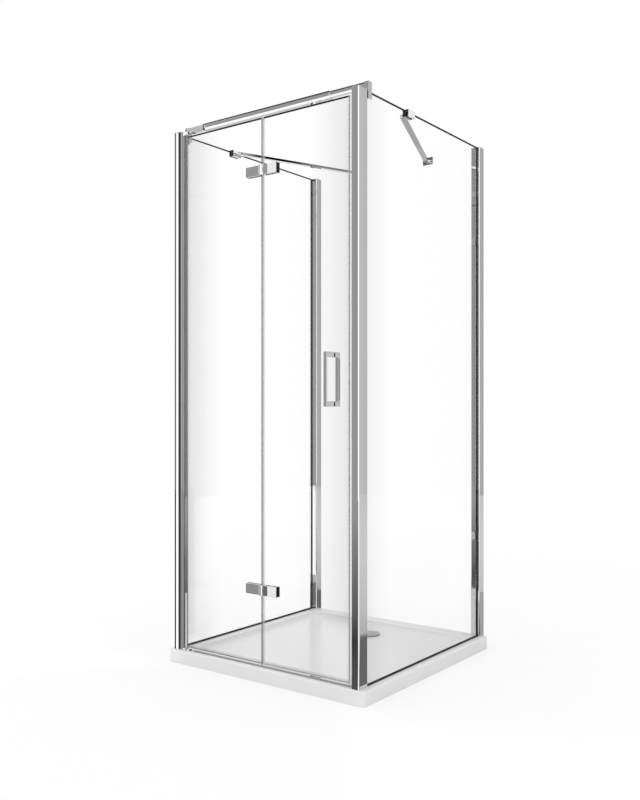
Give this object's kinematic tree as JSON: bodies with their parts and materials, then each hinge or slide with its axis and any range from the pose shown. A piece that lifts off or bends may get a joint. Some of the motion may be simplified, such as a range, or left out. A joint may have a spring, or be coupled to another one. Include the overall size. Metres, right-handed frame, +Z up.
{
  "type": "folding shower enclosure",
  "caption": "Three-sided glass shower enclosure on a low square tray, with a folding door, corner posts, wall profiles, stabiliser bar, braces and a bow handle.",
  "frame": {"origin": "centre of the tray's underside", "axes": "+X along the door from hinge side to closing side, +Y from the door to the wall, +Z up"},
  "size_m": [0.9, 0.92, 2.057],
  "materials": {
    "tray_white": "satin white",
    "polished_aluminium": "bright polished",
    "chrome": "polished chrome plate",
    "clear_glass": "clear toughened, polished edges",
    "clear_seal": "translucent",
    "dark_rubber": "matt black",
    "grey_plastic": "satin grey",
    "screw_steel": "bright zinc"
  },
  "bodies": {
    "enclosure": {"bottom_pivot_block": "chrome", "brace_pivot_screws": "screw_steel", "clamp_pads": "dark_rubber", "clamp_screws": "screw_steel", "door_threshold": "polished_aluminium", "drain_cover": "chrome", "drain_flange": "chrome", "hinge_jamb": "polished_aluminium", "left_base_seal": "dark_rubber", "left_brace_bar": "chrome", "left_brace_clamp": "chrome", "left_brace_flange": "chrome", "left_corner_post": "polished_aluminium", "left_post_gasket": "dark_rubber", "left_side_glass": "clear_glass", "left_stabiliser_clamp": "chrome", "left_stabiliser_rod": "chrome", "left_wall_gasket": "dark_rubber", "left_wall_profile": "polished_aluminium", "pivot_bushes": "grey_plastic", "post_caps": "grey_plastic", "right_base_seal": "dark_rubber", "right_brace_bar": "chrome", "right_brace_clamp": "chrome", "right_brace_flange": "chrome", "right_corner_post": "polished_aluminium", "right_post_gasket": "dark_rubber", "right_side_glass": "clear_glass", "right_stabiliser_clamp": "chrome", "right_stabiliser_rod": "chrome", "right_wall_gasket": "dark_rubber", "right_wall_profile": "polished_aluminium", "shower_tray": "tray_white", "stabiliser_grub_screws": "screw_steel", "stabiliser_sleeve": "chrome", "strike_seal": "clear_seal", "top_pivot_block": "chrome"},
    "left_leaf": {"pivot_profile": "polished_aluminium", "pivot_pins": "screw_steel", "left_leaf_glass": "clear_glass", "pivot_gaskets": "dark_rubber", "left_drip_seal": "clear_seal", "left_hinge_leaves": "chrome", "left_hinge_back_plates": "chrome", "left_hinge_pads": "dark_rubber", "left_hinge_screws": "screw_steel"},
    "right_leaf": {"right_leaf_glass": "clear_glass", "right_hinge_leaves": "chrome", "right_hinge_back_plates": "chrome", "right_hinge_pads": "dark_rubber", "right_hinge_screws": "screw_steel", "hinge_pins": "screw_steel", "fold_seal": "clear_seal", "closing_seal": "clear_seal", "right_drip_seal": "clear_seal", "outer_handle": "chrome", "inner_handle": "chrome", "handle_bolts": "screw_steel", "handle_washers": "dark_rubber"}
  },
  "joints": [
    {"name": "door_pivot", "type": "hinge", "parent": "enclosure", "child": "left_leaf", "pos_m": [-0.38, -0.425, 1.03], "axis": [0, 0, 1], "range_deg": [0, 90]},
    {"name": "door_fold", "type": "hinge", "parent": "left_leaf", "child": "right_leaf", "pos_m": [0, -0.437, 1.03], "axis": [0, 0, -1], "range_deg": [0, 172]}
  ]
}
